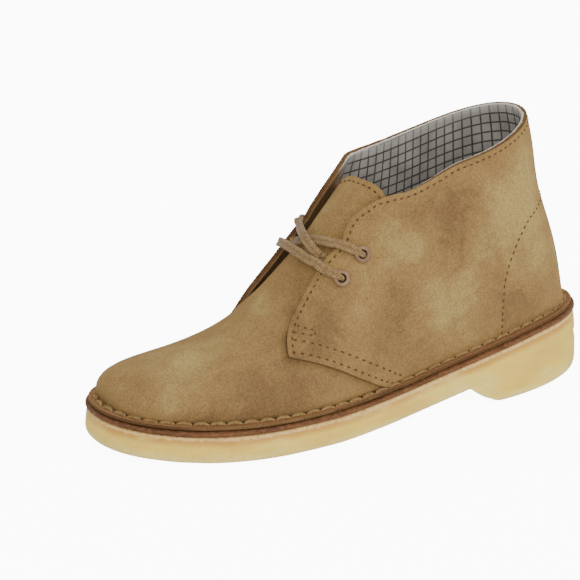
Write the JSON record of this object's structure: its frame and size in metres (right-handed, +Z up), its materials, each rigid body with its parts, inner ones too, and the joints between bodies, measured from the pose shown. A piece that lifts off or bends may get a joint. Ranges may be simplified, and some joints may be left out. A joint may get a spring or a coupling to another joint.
{
  "type": "chukka boot",
  "caption": "Left suede chukka boot: hollow ankle-high upper stitched down on a midsole, tongue, lacing, insole, crepe slab sole and heel lift.",
  "frame": {"origin": "on the floor under the middle of the boot's length and width", "axes": "+Y from toe to heel, +X to the outer side of the foot, +Z up from the floor to the collar"},
  "size_m": [0.0896, 0.258, 0.1356],
  "materials": {
    "crepe": "matte",
    "heel_crepe": "matte",
    "midsole_leather": "matte",
    "insole_cloth": "matte",
    "suede": "matte",
    "eyelet_metal": "satin",
    "lace_braid": "matte"
  },
  "bodies": {
    "root": {"outsole": "crepe", "heel_lift": "heel_crepe", "midsole": "midsole_leather", "insole": "insole_cloth", "upper": "suede", "tongue": "suede", "eyelet_outer_lower": "eyelet_metal", "eyelet_outer_upper": "eyelet_metal", "eyelet_inner_lower": "eyelet_metal", "eyelet_inner_upper": "eyelet_metal", "lace": "lace_braid"}
  },
  "joints": []
}
